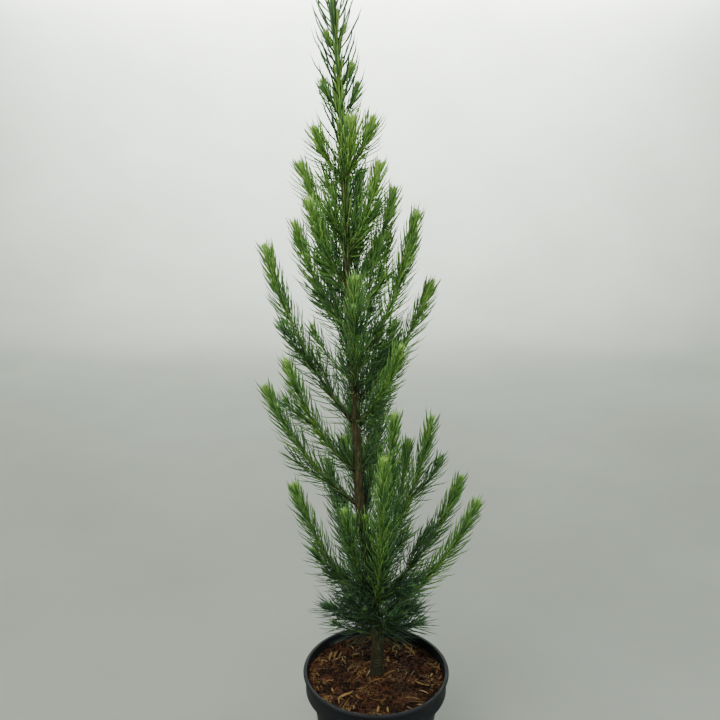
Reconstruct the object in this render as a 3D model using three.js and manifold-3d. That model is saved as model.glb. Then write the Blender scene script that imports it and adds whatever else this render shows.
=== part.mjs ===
// A young upright Japanese larch in a round nursery pot, in millimetres, +Z up.
// The origin is the centre of the pot's flat underside. Azimuths turn from +X (0 degrees,
// the right) to +Y (90, the back), so the front of the plant faces -Y.
import * as THREE from "three";
import { mergeVertices } from "three/addons/utils/BufferGeometryUtils.js";
import Module from "manifold-3d";

const wasm = await Module();
wasm.setup();

// Clearance between neighbouring solids, and the distance at which corners are one corner
const GAP = 0.3;
const SAME_POINT = 1e-4;

// Pot: a thin tapering wall that steps out to a collar with a bead round its top
const POT_HEIGHT = 150;
const RIM_RADIUS = 95;
const BEAD_HEIGHT = 4;
const COLLAR_RADIUS = 92;
const COLLAR_HEIGHT = 28;
const NECK_RADIUS = 83;
const FOOT_RADIUS = 68;
const FOOT_BEVEL = 3;
const EDGE_BEVEL = 1;
const WALL = 1.8;
const FLOOR = 3;
const POT_SIDES = 36;
const DRAIN_HOLES = 6;
const DRAIN_RADIUS = 6;
const DRAIN_SIDES = 10;
const DRAIN_RING_RADIUS = 48;

// Soil: a low mound of bark mulch with a level seat under the trunk
const SOIL_TOP = 143;
const SOIL_EDGE = 138;
const SEAT_RADIUS = 16;

// Trunk stations: height above the soil, lean to the right, lean to the back, radius
const TRUNK_STATIONS = [
  [0, 1, 0, 9.5],
  [12, 1, 0, 8.1],
  [37, 1.7, 0, 7.4],
  [104, -4, 1, 6.8],
  [167, -12, 2, 6.4],
  [246, -21, 1, 5.8],
  [345, -25, -1, 5.1],
  [435, -29, -2, 4.7],
  [543, -36, 0, 4.1],
  [615, -37, 1, 3.5],
  [683, -41, 1, 2.6],
  [751, -44, 0, 2.1],
  [840, -51, -1, 0.8],
];
const TRUNK_SIDES = 9;

// Shoots up the trunk: height above the soil, azimuth, reach outwards, rise
const SHOOTS = [
  [75, 276, 70, 244],
  [80, 352, 120, 162],
  [82, 128, 96, 174],
  [94, 182, 95, 164],
  [99, 61, 91, 182],
  [101, 10, 106, 156],
  [109, 290, 64, 261],
  [114, 242, 70, 139],
  [138, 106, 88, 204],
  [145, 345, 73, 205],
  [226, 71, 92, 182],
  [238, 172, 111, 140],
  [280, 165, 17, 35],
  [283, 205, 86, 143],
  [315, 100, 86, 180],
  [347, 186, 99, 204],
  [349, 305, 80, 103],
  [370, 47, 65, 80],
  [378, 12, 86, 127],
  [385, 271, 56, 140],
  [409, 349, 68, 180],
  [427, 125, 69, 147],
  [456, 161, 65, 116],
  [502, 35, 60, 107],
  [513, 215, 47, 91],
  [527, 73, 44, 102],
  [550, 318, 45, 93],
  [575, 166, 48, 65],
  [589, 91, 34, 71],
  [635, 195, 29, 43],
  [641, 345, 29, 48],
];
const BEND_OUT = 0.66;
const BEND_UP = 0.36;
const BOUGH_SHARE = 0.17;
const SHORTEST_WITH_BOUGH = 133;
const BOUGH_SIDES = 5;
const BOUGH_LEAST_RADIUS = 1.3;
const BOUGH_GROWTH = 0.0077;
const BOUGH_TAPER = 0.8;

// Foliage: a slim three-sided core along each shoot, with a ring of needles at every band
const CORE_SIDES = 3;
const CORE_RADIUS = 2.6;
const CORE_TIP_RADIUS = 1.7;
const BAND_EVERY = 12.5;
const BAND_HEIGHT = 3;
const BAND_TWIST = 47;
const FIRST_BAND = 0.7;
const SPARE_BAND = 0.4;
const NEEDLE_LENGTH = 38;
const TIP_NEEDLE_LENGTH = 21;
const NEEDLE_RADIUS = 1.5;
const SHORTEST_NEEDLE = 0.86;
const LONGEST_NEEDLE = 1.08;
const LOW_LEAN = 56;
const HIGH_LEAN = 24;
const TUFT_LEAN = 15;
const LEAN_SPREAD = 5;
const ROLL_SPREAD = 16;
const END_NEEDLE_SHARE = 0.8;

// Steps along a curve for its frames, its capsules, a stretch of it and the leader's line
const FRAME_STEPS = 64;
const CAPSULE_STEPS = 8;
const STRETCH_STEPS = 5;
const LEADER_STEPS = 4;

// Seeds of the draws for the leader, the first shoot and the first skirt shoot
const LEADER_SEED = 5;
const SHOOT_SEED = 100;
const SKIRT_SEED = 300;

// Side twigs: where they fork, how far they turn away, and their length
const TWIG_EVERY = 140;
const TWIG_TURN = 34;
const TWIG_SHARE = 0.3;
const TWIG_BEND = 0.55;
const SHORTEST_TWIG = 0.7;
const LONGEST_TWIG = 1.1;
const FIRST_FORK_AFTER = 0.12;
const LAST_FORK = 0.72;

// Leader: a sleeve of needles round the top of the trunk, and the small tufts on it
const LEADER_FROM = 666;
const LEADER_ABOVE_TIP = 4;
const LEADER_WALL = 1;
const LEADER_SIDES = 6;
const LEADER_BAND_EVERY = 14;
const LEADER_LEAN = 31;
const LEADER_TWIG_REACH = 0.6;
const LEADER_TWIGS = [
  [668, 292, 22],
  [690, 100, 25],
  [698, 20, 26],
  [703, 186, 25],
  [729, 345, 18],
  [764, 170, 15],
  [775, 15, 12],
];

// Skirt: short dark shoots round the foot: height above the soil, azimuth, reach, rise
const SKIRT = [
  [49, 20, 38, 42],
  [61, 92, 38, 50],
  [53, 164, 38, 44],
  [70, 236, 36, 50],
  [57, 306, 36, 46],
];
const SKIRT_TWIGS = [
  [0.25, 25],
  [0.4, 155],
];
const SKIRT_TWIG_SHARE = 0.75;
const SKIRT_LEAN = 64;
const LOWEST_NEEDLE = SOIL_TOP + 6;

const COLOURS = {
  pot: { color: 0x1c1e21, roughness: 0.42, metalness: 0 },
  soil: { color: 0x3d2417, roughness: 0.95, metalness: 0 },
  bark: { color: 0x4a3a2a, roughness: 0.9, metalness: 0 },
  needles: { color: 0x4e7d36, roughness: 0.7, metalness: 0 },
  skirt: { color: 0x2f5138, roughness: 0.7, metalness: 0 },
};

// Seeded draws, the same on every run
function seededDraws(seed) {
  let state = seed >>> 0;
  return () => {
    state = (state + 0x6d2b79f5) >>> 0;
    let mixed = Math.imul(state ^ (state >>> 15), state | 1);
    mixed ^= mixed + Math.imul(mixed ^ (mixed >>> 7), mixed | 61);
    return ((mixed ^ (mixed >>> 14)) >>> 0) / 4294967296;
  };
}

const radians = THREE.MathUtils.degToRad;
const mix = THREE.MathUtils.lerp;
const spread = (draw, most) => most * (2 * draw() - 1);

// A closed geometry as a solid that can be joined and cut
function solidOf(geometry) {
  geometry.deleteAttribute("normal");
  geometry.deleteAttribute("uv");
  const merged = mergeVertices(geometry, SAME_POINT);
  const mesh = new wasm.Mesh({
    numProp: 3,
    vertProperties: merged.attributes.position.array,
    triVerts: new Uint32Array(merged.index.array),
  });
  return new wasm.Manifold(mesh);
}

function meshOf(name, solid, colour) {
  const { vertProperties, triVerts } = solid.getMesh();
  const geometry = new THREE.BufferGeometry();
  geometry.setAttribute("position", new THREE.BufferAttribute(vertProperties, 3));
  geometry.setIndex(new THREE.BufferAttribute(triVerts, 1));
  geometry.computeVertexNormals();
  const mesh = new THREE.Mesh(geometry, new THREE.MeshStandardMaterial(COLOURS[colour]));
  mesh.name = name;
  return mesh;
}

// A profile of radius and height turned round the Z axis
function turned(profile, sides) {
  const points = profile.map(([radius, height]) => new THREE.Vector2(radius, height));
  return solidOf(new THREE.LatheGeometry(points, sides).rotateX(Math.PI / 2));
}

function fromFaces(points, faces) {
  const geometry = new THREE.BufferGeometry().setFromPoints(points);
  return solidOf(geometry.setIndex(faces));
}

// A curve's frames: the way out from it at a turn round it, and a point that far out
function skinOf(curve) {
  const { normals, binormals } = curve.computeFrenetFrames(FRAME_STEPS);
  const outwards = (share, turn) => {
    const step = Math.round(Math.min(share, 1) * FRAME_STEPS);
    const across = binormals[step].clone().multiplyScalar(Math.sin(turn));
    return across.addScaledVector(normals[step], Math.cos(turn));
  };
  const point = (share, turn, radius) =>
    curve.getPointAt(Math.min(share, 1)).addScaledVector(outwards(share, turn), radius);
  return { outwards, point };
}

// The turns of a section's corners
function corners(sides) {
  return Array.from({ length: sides }, (_, side) => (2 * Math.PI * side) / sides);
}

// The four corners of the panel between one ring and the next
function panelOf(ring, side, sides) {
  const [low, high] = [ring * sides, (ring + 1) * sides];
  const next = (side + 1) % sides;
  return [low + side, low + next, high + next, high + side];
}

function flatPanel([a, b, c, d]) {
  return [a, b, d, b, c, d];
}

// The flat end of the first ring, which faces back
function foot(sides) {
  return corners(sides - 2).flatMap((_, side) => [0, side + 2, side + 1]);
}

// Rings of a round section at shares of a curve, closed by flat ends
function limb(curve, radiusAt, sides, shares) {
  const skin = skinOf(curve);
  const turns = corners(sides);
  const points = shares.flatMap((share) =>
    turns.map((turn) => skin.point(share, turn, radiusAt(share))),
  );
  const faces = shares
    .slice(1)
    .flatMap((_, ring) => turns.flatMap((turn, side) => flatPanel(panelOf(ring, side, sides))));
  const last = (shares.length - 1) * sides;
  const top = foot(sides).map((corner) => last + corner).reverse();
  return fromFaces(points, [...faces, ...foot(sides), ...top]);
}

function trunkCurve() {
  const points = TRUNK_STATIONS.map(
    ([height, right, back]) => new THREE.Vector3(right, back, SOIL_TOP + GAP + height),
  );
  return new THREE.CatmullRomCurve3(points);
}

// The trunk's radius and centre at a height above the soil
function trunkAt(height) {
  const upper = TRUNK_STATIONS.findIndex((station) => station[0] > height);
  const top = upper < 0 ? TRUNK_STATIONS.length - 1 : upper;
  const [low, high] = [TRUNK_STATIONS[top - 1], TRUNK_STATIONS[top]];
  const share = Math.min((height - low[0]) / (high[0] - low[0]), 1);
  const [right, back, radius] = [1, 2, 3].map((column) => mix(low[column], high[column], share));
  return { radius, centre: new THREE.Vector3(right, back, SOIL_TOP + GAP + height) };
}

// The trunk, or the room round it that its neighbours keep clear
function trunkSolid(clearance = 0) {
  const curve = trunkCurve();
  curve.points.at(-1).z += clearance;
  const radiusAt = (share) =>
    trunkAt(curve.getPointAt(share).z - SOIL_TOP - GAP).radius + clearance;
  const highest = TRUNK_STATIONS.at(-1)[0];
  const shares = TRUNK_STATIONS.map(([height]) => height / highest);
  return limb(curve, radiusAt, TRUNK_SIDES, shares);
}

const LEADER = "foliage_leader";

// Capsules round every limb and needle so far, so that a new one can stay clear of them
const taken = [];

function take(node, from, to, radius) {
  taken.push({ node, line: new THREE.Line3(from.clone(), to.clone()), radius });
}

function distanceBetween(first, second) {
  const along = first.delta(new THREE.Vector3());
  const other = second.delta(new THREE.Vector3());
  const offset = first.start.clone().sub(second.start);
  const [a, b, e] = [along.dot(along), along.dot(other), other.dot(other)];
  const [c, f] = [along.dot(offset), other.dot(offset)];
  const apart = a * e - b * b;
  const clamp = (value) => THREE.MathUtils.clamp(value, 0, 1);
  let s = apart > 0 ? clamp((b * f - c * e) / apart) : 0;
  const t = clamp((b * s + f) / e);
  s = clamp((b * t - c) / a);
  return first.at(s, new THREE.Vector3()).distanceTo(second.at(t, new THREE.Vector3()));
}

function isClear(node, from, to, radius) {
  const line = new THREE.Line3(from, to);
  return taken.every(
    (other) =>
      other.node === node ||
      (node === LEADER && other.node === "trunk") ||
      distanceBetween(line, other.line) > radius + other.radius + GAP,
  );
}

function takeCurve(node, curve, radius) {
  const points = curve.getSpacedPoints(CAPSULE_STEPS);
  points.slice(1).forEach((point, index) => take(node, points[index], point, radius));
}

// Keeps the room for a twig's core where it stays clear of everything else
function takeIfClear(node, curve) {
  const points = curve.getSpacedPoints(CAPSULE_STEPS);
  const clear = points
    .slice(1)
    .every((point, index) => isClear(node, points[index], point, CORE_RADIUS));
  if (clear) takeCurve(node, curve, CORE_RADIUS);
  return clear;
}

// The line of a shoot from the middle of the trunk: outwards first, then steeply up
function shootCurve([height, azimuth, reach, rise]) {
  const start = trunkAt(height).centre;
  const outwards = new THREE.Vector3(Math.cos(radians(azimuth)), Math.sin(radians(azimuth)), 0);
  const at = (out, up) =>
    start.clone().addScaledVector(outwards, out * reach).setZ(start.z + up * rise);
  return new THREE.QuadraticBezierCurve3(start, at(BEND_OUT, BEND_UP), at(1, 1));
}

function evenShares(steps) {
  return Array.from({ length: steps + 1 }, (_, step) => step / steps);
}

// The stretch of a curve between two shares of its length
function stretch(curve, from, to) {
  const points = evenShares(STRETCH_STEPS).map((share) => curve.getPointAt(mix(from, to, share)));
  return new THREE.CatmullRomCurve3(points);
}

// A side twig that turns away from its shoot and then runs beside it
function twigCurve(curve, share, roll, length) {
  const tangent = curve.getTangentAt(share);
  const start = curve.getPointAt(share);
  const away = sideways(tangent, roll);
  const forkwards = tangent
    .clone()
    .multiplyScalar(Math.cos(radians(TWIG_TURN)))
    .addScaledVector(away, Math.sin(radians(TWIG_TURN)));
  const bend = start.clone().addScaledVector(forkwards, length * TWIG_BEND);
  const end = bend.clone().addScaledVector(tangent, length * (1 - TWIG_BEND));
  return new THREE.QuadraticBezierCurve3(start, bend, end);
}

// A unit vector square to a direction, turned round it by a roll in degrees
function sideways(direction, roll) {
  const level = new THREE.Vector3(0, 0, 1).cross(direction).normalize();
  return level.applyAxisAngle(direction, radians(roll));
}

function coreRadius(share) {
  return mix(CORE_RADIUS, CORE_TIP_RADIUS, share);
}

// The rings of a core: its foot, two for each band that bears needles, and its end
function coreRings(length, every) {
  const bands = Math.max(2, Math.floor(length / every));
  const rings = [{ share: 0, twist: 0 }];
  for (let band = 0; band < bands; band++) {
    const share = (band + FIRST_BAND) / (bands + SPARE_BAND);
    const twist = radians(band * BAND_TWIST);
    const bearing = { lean: band === bands - 1 ? TUFT_LEAN : null };
    rings.push({ share, twist, bearing }, { share: share + BAND_HEIGHT / length, twist });
  }
  rings.push({ share: 1, twist: radians(bands * BAND_TWIST) });
  return rings;
}

// The point of a needle that leaves a curve at a place, or nothing where it would touch something
function needleTip(node, root, tangent, outwards, lean, length) {
  const tip = root.clone().addScaledVector(tangent, length * Math.cos(radians(lean)));
  tip.addScaledVector(outwards, length * Math.sin(radians(lean)));
  if (tip.z < LOWEST_NEEDLE || !isClear(node, root, tip, NEEDLE_RADIUS)) return null;
  take(node, root, tip, NEEDLE_RADIUS);
  return tip;
}

const PLAIN_SPRAY = {
  lowLean: LOW_LEAN,
  sides: CORE_SIDES,
  every: BAND_EVERY,
  radiusAt: coreRadius,
};

// A spray: a core whose bands rise to needles, leaning out low down and forwards at the tip,
// as one closed surface that ends in a needle of its own
function spray(node, curve, draw, options = {}) {
  const { lowLean, sides, every, radiusAt } = { ...PLAIN_SPRAY, ...options };
  const skin = skinOf(curve);
  const turns = corners(sides);
  const rings = coreRings(curve.getLength(), every);
  const points = rings.flatMap(({ share, twist }) =>
    turns.map((turn) => skin.point(share, twist + turn, radiusAt(share))),
  );
  const needleOn = (panel, { share, twist, bearing }, turn) => {
    const root = panel.reduce((sum, corner) => sum.add(points[corner]), new THREE.Vector3());
    const middle = twist + turn + Math.PI / sides + radians(spread(draw, ROLL_SPREAD));
    const lean = (bearing.lean ?? mix(lowLean, HIGH_LEAN, share)) + spread(draw, LEAN_SPREAD);
    const grown = mix(SHORTEST_NEEDLE, LONGEST_NEEDLE, draw());
    const length = mix(NEEDLE_LENGTH, TIP_NEEDLE_LENGTH, share * share) * grown;
    const outwards = skin.outwards(share, middle);
    root.divideScalar(panel.length);
    return needleTip(node, root, curve.getTangentAt(share), outwards, lean, length);
  };
  const faces = foot(sides);
  rings.slice(0, -1).forEach((ring, index) => {
    turns.forEach((turn, side) => {
      const panel = panelOf(index, side, sides);
      const tip = ring.bearing && needleOn(panel, ring, turn);
      if (!tip) {
        faces.push(...flatPanel(panel));
        return;
      }
      panel.forEach((corner, place) => {
        faces.push(corner, panel[(place + 1) % panel.length], points.length);
      });
      points.push(tip);
    });
  });
  const last = (rings.length - 1) * sides;
  turns.forEach((_, side) => faces.push(last + side, last + ((side + 1) % sides), points.length));
  const end = curve.getPointAt(1);
  points.push(end.addScaledVector(curve.getTangentAt(1), TIP_NEEDLE_LENGTH * END_NEEDLE_SHARE));
  return fromFaces(points, faces);
}

function potNode() {
  const collarFoot = POT_HEIGHT - COLLAR_HEIGHT;
  const outside = [
    [0, 0],
    [FOOT_RADIUS - FOOT_BEVEL, 0],
    [FOOT_RADIUS, FOOT_BEVEL],
    [NECK_RADIUS, collarFoot],
    [COLLAR_RADIUS - EDGE_BEVEL, collarFoot],
    [COLLAR_RADIUS, collarFoot + EDGE_BEVEL],
    [COLLAR_RADIUS, POT_HEIGHT - BEAD_HEIGHT],
    [RIM_RADIUS, POT_HEIGHT - BEAD_HEIGHT],
    [RIM_RADIUS, POT_HEIGHT - EDGE_BEVEL],
    [RIM_RADIUS - EDGE_BEVEL, POT_HEIGHT],
  ];
  const inside = [
    [COLLAR_RADIUS - WALL, POT_HEIGHT],
    [COLLAR_RADIUS - WALL, collarFoot + WALL],
    [NECK_RADIUS - WALL, collarFoot + WALL],
    [FOOT_RADIUS - WALL, FLOOR],
    [0, FLOOR],
  ];
  let pot = turned([...outside, ...inside], POT_SIDES);
  for (let hole = 0; hole < DRAIN_HOLES; hole++) {
    const turn = (2 * Math.PI * hole) / DRAIN_HOLES;
    const drain = new THREE.CylinderGeometry(DRAIN_RADIUS, DRAIN_RADIUS, 4 * FLOOR, DRAIN_SIDES);
    drain.rotateX(Math.PI / 2);
    drain.translate(DRAIN_RING_RADIUS * Math.cos(turn), DRAIN_RING_RADIUS * Math.sin(turn), 0);
    pot = pot.subtract(solidOf(drain));
  }
  return meshOf("pot", pot, "pot");
}

function soilNode() {
  const ledge = POT_HEIGHT - COLLAR_HEIGHT + WALL + GAP;
  const profile = [
    [0, FLOOR + GAP],
    [FOOT_RADIUS - WALL - 2 * GAP, FLOOR + GAP],
    [NECK_RADIUS - WALL - 2 * GAP, ledge],
    [COLLAR_RADIUS - WALL - 2 * GAP, ledge],
    [COLLAR_RADIUS - WALL - 2 * GAP, SOIL_EDGE],
    [SEAT_RADIUS, SOIL_TOP],
    [0, SOIL_TOP],
  ];
  return meshOf("soil", turned(profile, POT_SIDES), "soil");
}

const trunkClearance = trunkSolid(2 * GAP);

// Where a shoot's bough ends and its foliage starts, as a share of its length
function foliageStart(curve) {
  return curve.getLength() < SHORTEST_WITH_BOUGH ? 0 : BOUGH_SHARE;
}

function boughRadius(length) {
  return BOUGH_LEAST_RADIUS + length * BOUGH_GROWTH;
}

function boughSolid(curve) {
  const length = curve.getLength();
  const line = stretch(curve, 0, BOUGH_SHARE - GAP / length);
  const radiusAt = (share) => boughRadius(length) * mix(1, BOUGH_TAPER, share);
  return limb(line, radiusAt, BOUGH_SIDES, [0, 0.5, 1]).subtract(trunkClearance);
}

// The main piece of a cut solid, without the scraps that the cut leaves
function largestBody(solid) {
  const bodies = solid.decompose();
  return bodies.reduce((most, body) => (body.volume() > most.volume() ? body : most));
}

// A mass of foliage on one stem, with its side twigs and needles
function foliageSolid(node, stem, twigs, draw, lowLean) {
  let mass = spray(node, stem, draw, { lowLean });
  twigs.forEach((twig) => {
    mass = mass.add(spray(node, twig, draw, { lowLean }));
  });
  return largestBody(mass.subtract(trunkClearance));
}

// The seeded side twigs of a shoot, where there is room for them
function sideTwigs(node, curve, draw) {
  const length = curve.getLength();
  const forks = length / TWIG_EVERY;
  const first = foliageStart(curve) + FIRST_FORK_AFTER;
  const twigs = [];
  for (let fork = 0; fork < Math.floor(forks); fork++) {
    const share = mix(first, LAST_FORK, (fork + draw()) / forks);
    const roll = 360 * draw();
    const grown = mix(SHORTEST_TWIG, LONGEST_TWIG, draw());
    const twig = twigCurve(curve, share, roll, length * TWIG_SHARE * grown);
    if (takeIfClear(node, twig)) twigs.push(twig);
  }
  return twigs;
}

// The leader's sleeve of needles round the top of the trunk, open below
function leaderSolid(node) {
  const draw = seededDraws(LEADER_SEED);
  const highest = TRUNK_STATIONS.at(-1)[0];
  const heights = evenShares(LEADER_STEPS).map((share) =>
    mix(LEADER_FROM, highest + LEADER_ABOVE_TIP, share),
  );
  const line = new THREE.CatmullRomCurve3(heights.map(trunkLine));
  const radiusAt = (share) =>
    trunkAt(mix(LEADER_FROM, highest, share)).radius + 2 * GAP + LEADER_WALL;
  const sleeve = { lowLean: LEADER_LEAN, sides: LEADER_SIDES, every: LEADER_BAND_EVERY, radiusAt };
  let mass = spray(node, line, draw, sleeve);
  LEADER_TWIGS.forEach(([height, azimuth, rise]) => {
    const twig = shootCurve([height, azimuth, rise * LEADER_TWIG_REACH, rise]);
    mass = mass.add(spray(node, twig, draw));
  });
  return largestBody(mass.subtract(trunkClearance));
}

// A point on the trunk's line, carried on above its tip
function trunkLine(height) {
  const highest = TRUNK_STATIONS.at(-1)[0];
  const { centre } = trunkAt(Math.min(height, highest));
  return centre.setZ(SOIL_TOP + GAP + height);
}

function sideName(azimuth) {
  return ["right", "back", "left", "front"][Math.floor(((azimuth + 45) % 360) / 90)];
}

// Names the shoots on each side from the lowest up
function namedShoots() {
  const counts = {};
  return SHOOTS.map((shoot) => {
    const side = sideName(shoot[1]);
    counts[side] = (counts[side] ?? 0) + 1;
    return { name: `${side}_${counts[side]}`, curve: shootCurve(shoot) };
  });
}

// Limbs first, so that every needle can stay clear of all of them
function takeTrunk() {
  TRUNK_STATIONS.slice(1).forEach(([height], index) => {
    const [lowHeight, , , radius] = TRUNK_STATIONS[index];
    take("trunk", trunkAt(lowHeight).centre, trunkAt(height).centre, radius);
  });
}

function takeShoot({ name, curve }) {
  takeCurve(`foliage_${name}`, stretch(curve, foliageStart(curve), 1), CORE_RADIUS);
  if (!foliageStart(curve)) return;
  takeCurve(`bough_${name}`, stretch(curve, 0, BOUGH_SHARE), boughRadius(curve.getLength()));
}

function skirtMasses() {
  const masses = SKIRT.map((shoot, index) => ({
    node: `skirt_${index + 1}`,
    curve: shootCurve(shoot),
    draw: seededDraws(SKIRT_SEED + index),
  }));
  masses.forEach(({ node, curve }) => takeCurve(node, curve, CORE_RADIUS));
  masses.forEach((mass) => {
    const length = mass.curve.getLength() * SKIRT_TWIG_SHARE;
    mass.twigs = SKIRT_TWIGS.map(([share, roll]) => twigCurve(mass.curve, share, roll, length));
    mass.twigs = mass.twigs.filter((twig) => takeIfClear(mass.node, twig));
  });
  return masses;
}

function plantNodes() {
  const shoots = namedShoots();
  takeTrunk();
  shoots.forEach(takeShoot);
  const skirt = skirtMasses();
  shoots.forEach((shoot, index) => {
    shoot.draw = seededDraws(SHOOT_SEED + index);
    shoot.twigs = sideTwigs(`foliage_${shoot.name}`, shoot.curve, shoot.draw);
  });
  const meshes = [meshOf("trunk", trunkSolid(), "bark")];
  shoots.forEach(({ name, curve }) => {
    if (foliageStart(curve)) meshes.push(meshOf(`bough_${name}`, boughSolid(curve), "bark"));
  });
  meshes.push(meshOf(LEADER, leaderSolid(LEADER), "needles"));
  shoots.forEach(({ name, curve, draw, twigs }) => {
    const node = `foliage_${name}`;
    const stem = stretch(curve, foliageStart(curve), 1);
    meshes.push(meshOf(node, foliageSolid(node, stem, twigs, draw, LOW_LEAN), "needles"));
  });
  skirt.forEach(({ node, curve, twigs, draw }) => {
    meshes.push(meshOf(node, foliageSolid(node, curve, twigs, draw, SKIRT_LEAN), "skirt"));
  });
  return meshes;
}

const part = new THREE.Group();
part.add(potNode(), soilNode(), ...plantNodes());

export default part;
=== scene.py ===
import math
from dataclasses import dataclass
from functools import partial

import bpy
import numpy as np
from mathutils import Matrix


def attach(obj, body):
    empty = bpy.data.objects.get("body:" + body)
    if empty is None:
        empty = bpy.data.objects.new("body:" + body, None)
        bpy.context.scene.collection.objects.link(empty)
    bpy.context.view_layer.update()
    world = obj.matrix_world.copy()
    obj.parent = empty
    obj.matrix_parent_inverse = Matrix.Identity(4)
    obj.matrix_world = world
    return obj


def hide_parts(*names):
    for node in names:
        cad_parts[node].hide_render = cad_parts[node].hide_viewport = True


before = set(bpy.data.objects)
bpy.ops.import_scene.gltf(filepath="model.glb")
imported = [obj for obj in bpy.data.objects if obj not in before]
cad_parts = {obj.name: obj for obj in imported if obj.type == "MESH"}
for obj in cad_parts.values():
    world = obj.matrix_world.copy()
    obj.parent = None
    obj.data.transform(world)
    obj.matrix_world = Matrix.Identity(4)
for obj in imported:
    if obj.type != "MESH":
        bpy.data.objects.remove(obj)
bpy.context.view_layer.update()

MM = 0.001
BODY = "root"

# Camera: where the photograph was taken from
CAMERA_AT = (-20.9, -973.5, 863.6)
CAMERA_DOWN = 16.74
CAMERA_ANGLE = 45

# Pot
POT_HEIGHT = 150
RIM_RADIUS = 95
BEAD_HEIGHT = 4
COLLAR_RADIUS = 92
COLLAR_HEIGHT = 28
NECK_RADIUS = 83
FOOT_RADIUS = 68
FOOT_BEVEL = 3
CONE_SHARES = (0.06, 0.35, 0.65, 0.985)
STEP_EDGE = 1.2
LIP_EDGE = 0.6
CREASE = 0.8
WALL = 1.8
FLOOR = 3
POT_SIDES = 192
SHARP_EDGE = 50
DRAIN_HOLES = 6
DRAIN_RADIUS = 6
DRAIN_RING_RADIUS = 48
DRAIN_SIDES = 40

# Soil
GAP = 0.3
SOIL_TOP = 143
SOIL_EDGE = 138
SEAT_RADIUS = 16

# Trunk stations: height above the soil, lean to the right, lean to the back, radius
TRUNK_STATIONS = [
    [0, 1, 0, 9.5],
    [12, 1, 0, 8.1],
    [37, 1.7, 0, 7.4],
    [104, -4, 1, 6.8],
    [167, -12, 2, 6.4],
    [246, -21, 1, 5.8],
    [345, -25, -1, 5.1],
    [435, -29, -2, 4.7],
    [543, -36, 0, 4.1],
    [615, -37, 1, 3.5],
    [683, -41, 1, 2.6],
    [751, -44, 0, 2.1],
    [840, -51, -1, 0.8],
]
TRUNK_HEIGHTS, TRUNK_RADII = np.array(TRUNK_STATIONS)[:, [0, 3]].T
TRUNK_LEANS = np.array(TRUNK_STATIONS)[:, 1:3].T
TRUNK_ROOM = 6
TRUNK_RINGS = 620
TRUNK_SIDES = 60
TRUNK_LEAST_RADIUS = 0.4

# Shoots up the trunk: height above the soil, azimuth, reach outwards, rise
SHOOTS = [
    [75, 276, 70, 244],
    [80, 352, 120, 162],
    [82, 128, 96, 174],
    [94, 182, 95, 164],
    [99, 61, 91, 182],
    [101, 10, 106, 156],
    [109, 290, 64, 261],
    [114, 242, 70, 139],
    [138, 106, 88, 204],
    [145, 345, 73, 205],
    [226, 71, 92, 182],
    [238, 172, 111, 140],
    [280, 165, 17, 35],
    [283, 205, 86, 143],
    [315, 100, 86, 180],
    [347, 186, 99, 204],
    [349, 305, 80, 103],
    [370, 47, 65, 80],
    [378, 12, 86, 127],
    [385, 271, 56, 140],
    [409, 349, 68, 180],
    [427, 125, 69, 147],
    [456, 161, 65, 116],
    [502, 35, 60, 107],
    [513, 215, 47, 91],
    [527, 73, 44, 102],
    [550, 318, 45, 93],
    [575, 166, 48, 65],
    [589, 91, 34, 71],
    [635, 195, 29, 43],
    [641, 345, 29, 48],
]
BEND_OUT = 0.66
BEND_UP = 0.36
BOUGH_SHARE = 0.17
SHORTEST_WITH_BOUGH = 133
BOUGH_LEAST_RADIUS = 1.3
BOUGH_GROWTH = 0.0077
BOUGH_TAPER = 0.8
BARE_BOUGH = 0.1
SHOOT_TIP_RADIUS = 1.1
CORE_RADIUS = 2.6
CAPSULE_STEPS = 8
LINE_STEPS = 96
SHOOT_SEED = 100

# Side twigs: where they fork, how far they turn away, and their length
TWIG_EVERY = 140
TWIG_TURN = 34
TWIG_SHARE = 0.3
TWIG_BEND = 0.55
TWIG_LENGTHS = (0.7, 1.1)
FIRST_FORK_AFTER = 0.12
LAST_FORK = 0.72
# Shoots with open air beside them, so with no side twig here, by their height
OPEN_BESIDE = (80, 238)

# Leader: the needles on the top of the trunk, and the small tufts there: height, azimuth, rise
LEADER_FROM = 546
LEADER_ABOVE_TIP = 4
LEADER_TWIG_REACH = 0.6
LEADER_TWIG_NEEDLES = (24, 19)
LEADER_TWIG_TUFT = 0.6
LEADER_TWIGS = [
    [668, 292, 22],
    [690, 100, 25],
    [698, 20, 26],
    [703, 186, 25],
    [729, 345, 18],
    [764, 170, 15],
    [775, 15, 12],
]

# Skirt: short dark shoots round the foot: height above the soil, azimuth, reach, rise
SKIRT = [
    [49, 20, 38, 42],
    [61, 92, 38, 50],
    [53, 164, 38, 44],
    [70, 236, 36, 50],
    [57, 306, 36, 46],
]
# Twigs on each of them: where along it, and how far they turn round it
SKIRT_TWIGS = [
    [0.25, 25],
    [0.4, 155],
]
SKIRT_TWIG_SHARE = 0.75

# Thin shoots that are only here, placed as the others are: at the foot's sides and in the crown's gaps
SIDE_UNDERGROWTH = [
    [58, 186, 48, 16],
    [68, 172, 52, 22],
    [60, 354, 46, 14],
    [70, 10, 52, 18],
]
FILL_SHOOTS = [
    [402, 150, 54, 50],
    [450, 40, 55, 110],
    [330, 60, 50, 110],
    [165, 262, 14, 58],
    [165, 215, 18, 55],
    [225, 15, 22, 80],
    [285, 350, 18, 80],
    [500, 165, 16, 70],
    [560, 170, 14, 60],
    [470, 350, 30, 90],
]
# A bright shoot that is only here, in front of the leader's foot
FRONT_SHOOT = [628, 290, 26, 62]

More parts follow.
